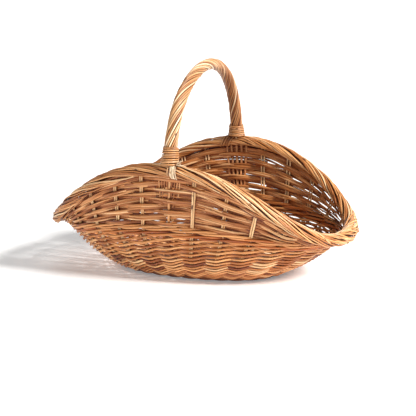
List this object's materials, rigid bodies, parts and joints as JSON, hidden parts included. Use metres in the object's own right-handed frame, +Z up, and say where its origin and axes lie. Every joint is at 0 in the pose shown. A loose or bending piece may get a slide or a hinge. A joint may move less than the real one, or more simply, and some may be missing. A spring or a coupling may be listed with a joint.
{
  "type": "egg collection basket",
  "caption": "Oval willow gathering basket with low ends, raised sides and a fixed twisted arch handle, for collecting eggs.",
  "frame": {"origin": "centre of the basket on the ground, at the underside of the foot ring", "axes": "+X along the long axis from one low end to the other, +Y across to the back raised side, +Z up"},
  "size_m": [0.4476, 0.3048, 0.3002],
  "materials": {
    "willow_base": "buff willow rods and sticks, matt, darker where it stands on the ground",
    "willow_stakes": "buff willow rods, satin",
    "willow_bowl": "buff willow rods, satin, with colour that changes from rod to rod",
    "willow_waist": "buff willow rods, satin, the darkest and reddest band",
    "willow_sides": "buff willow rods, satin, with colour that changes from rod to rod",
    "willow_rim": "buff willow rods, satin",
    "willow_handle": "pale buff willow rods, satin",
    "cane_binding": "pale split cane, satin"
  },
  "bodies": {
    "root": {"foot_ring": "willow_base", "base_long_stick_1": "willow_base", "base_long_stick_2": "willow_base", "base_long_stick_3": "willow_base", "base_cross_stick_1": "willow_base", "base_cross_stick_2": "willow_base", "base_cross_stick_3": "willow_base", "base_cross_stick_4": "willow_base", "base_cross_stick_5": "willow_base", "base_round_1": "willow_base", "base_round_2": "willow_base", "stake_01": "willow_stakes", "stake_02": "willow_stakes", "stake_03": "willow_stakes", "stake_04": "willow_stakes", "stake_05": "willow_stakes", "stake_06": "willow_stakes", "stake_07": "willow_stakes", "stake_08": "willow_stakes", "stake_09": "willow_stakes", "stake_10": "willow_stakes", "stake_11": "willow_stakes", "stake_12": "willow_stakes", "stake_13": "willow_stakes", "stake_14": "willow_stakes", "stake_15": "willow_stakes", "stake_16": "willow_stakes", "stake_17": "willow_stakes", "stake_18": "willow_stakes", "stake_19": "willow_stakes", "stake_20": "willow_stakes", "stake_21": "willow_stakes", "stake_22": "willow_stakes", "stake_23": "willow_stakes", "stake_24": "willow_stakes", "stake_25": "willow_stakes", "stake_26": "willow_stakes", "bowl_row_1": "willow_bowl", "bowl_row_2": "willow_bowl", "bowl_row_3": "willow_bowl", "bowl_row_4": "willow_bowl", "bowl_row_5": "willow_bowl", "bowl_row_6": "willow_bowl", "waist_wale": "willow_waist", "side_row_front_1": "willow_sides", "side_row_front_2": "willow_sides", "side_row_front_3": "willow_sides", "side_row_front_4": "willow_sides", "side_row_back_1": "willow_sides", "side_row_back_2": "willow_sides", "side_row_back_3": "willow_sides", "side_row_back_4": "willow_sides", "rim_strand_1": "willow_rim", "rim_strand_2": "willow_rim", "handle_core": "willow_handle", "handle_strand_1": "willow_handle", "handle_strand_2": "willow_handle", "handle_binding_front": "cane_binding", "handle_binding_back": "cane_binding"}
  },
  "joints": []
}
